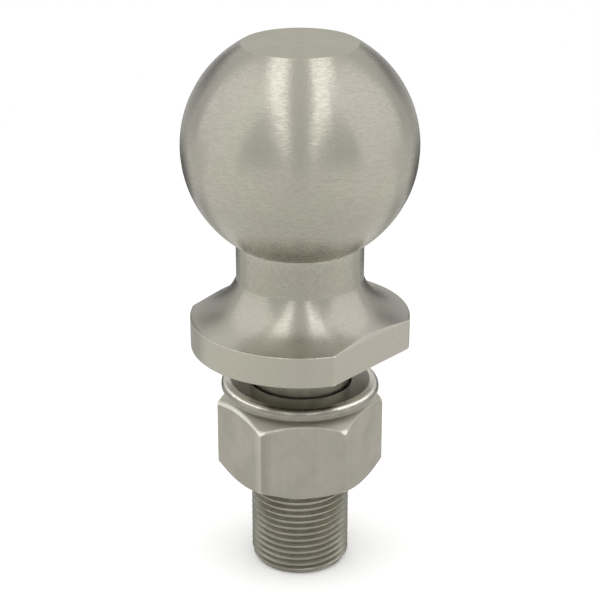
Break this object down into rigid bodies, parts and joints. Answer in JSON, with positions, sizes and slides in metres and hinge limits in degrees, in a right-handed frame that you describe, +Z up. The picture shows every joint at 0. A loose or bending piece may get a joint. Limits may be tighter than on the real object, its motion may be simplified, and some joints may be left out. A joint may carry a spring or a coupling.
{
  "type": "tow ball",
  "caption": "Tow ball on a flared flange with spanner flats and a threaded shank, held by a split lock washer and a hex nut.",
  "frame": {"origin": "centre of the flange's seat face, on the axis of the ball and shank", "axes": "+Z up through the ball, -Z along the shank, -Y towards the camera of the picture"},
  "size_m": [0.0587, 0.0586, 0.1396],
  "materials": {
    "turned_steel": "satin, turned, with fine rings around the axis",
    "spring_steel": "satin, plated, with worn bright edges",
    "nut_steel": "satin, plated, with a faint upright grain on the flats"
  },
  "bodies": {
    "ball_and_shank": {"tow_ball": "turned_steel"},
    "washer": {"lock_washer": "spring_steel"},
    "nut": {"hex_nut": "nut_steel"}
  },
  "joints": [
    {"name": "washer_slide", "type": "slide", "parent": "ball_and_shank", "child": "washer", "axis": [0, 0, 1], "range_m": [-0.0246, 0.0031]},
    {"name": "nut_turn", "type": "hinge", "parent": "washer", "child": "nut", "pos_m": [0, 0, -0.02525], "axis": [0, 0, 1], "range_deg": [-4860, 600]}
  ],
  "couplings": [
    {"joint": "washer_slide", "follows": "nut_turn", "m_per_rad": 0.00028875}
  ]
}
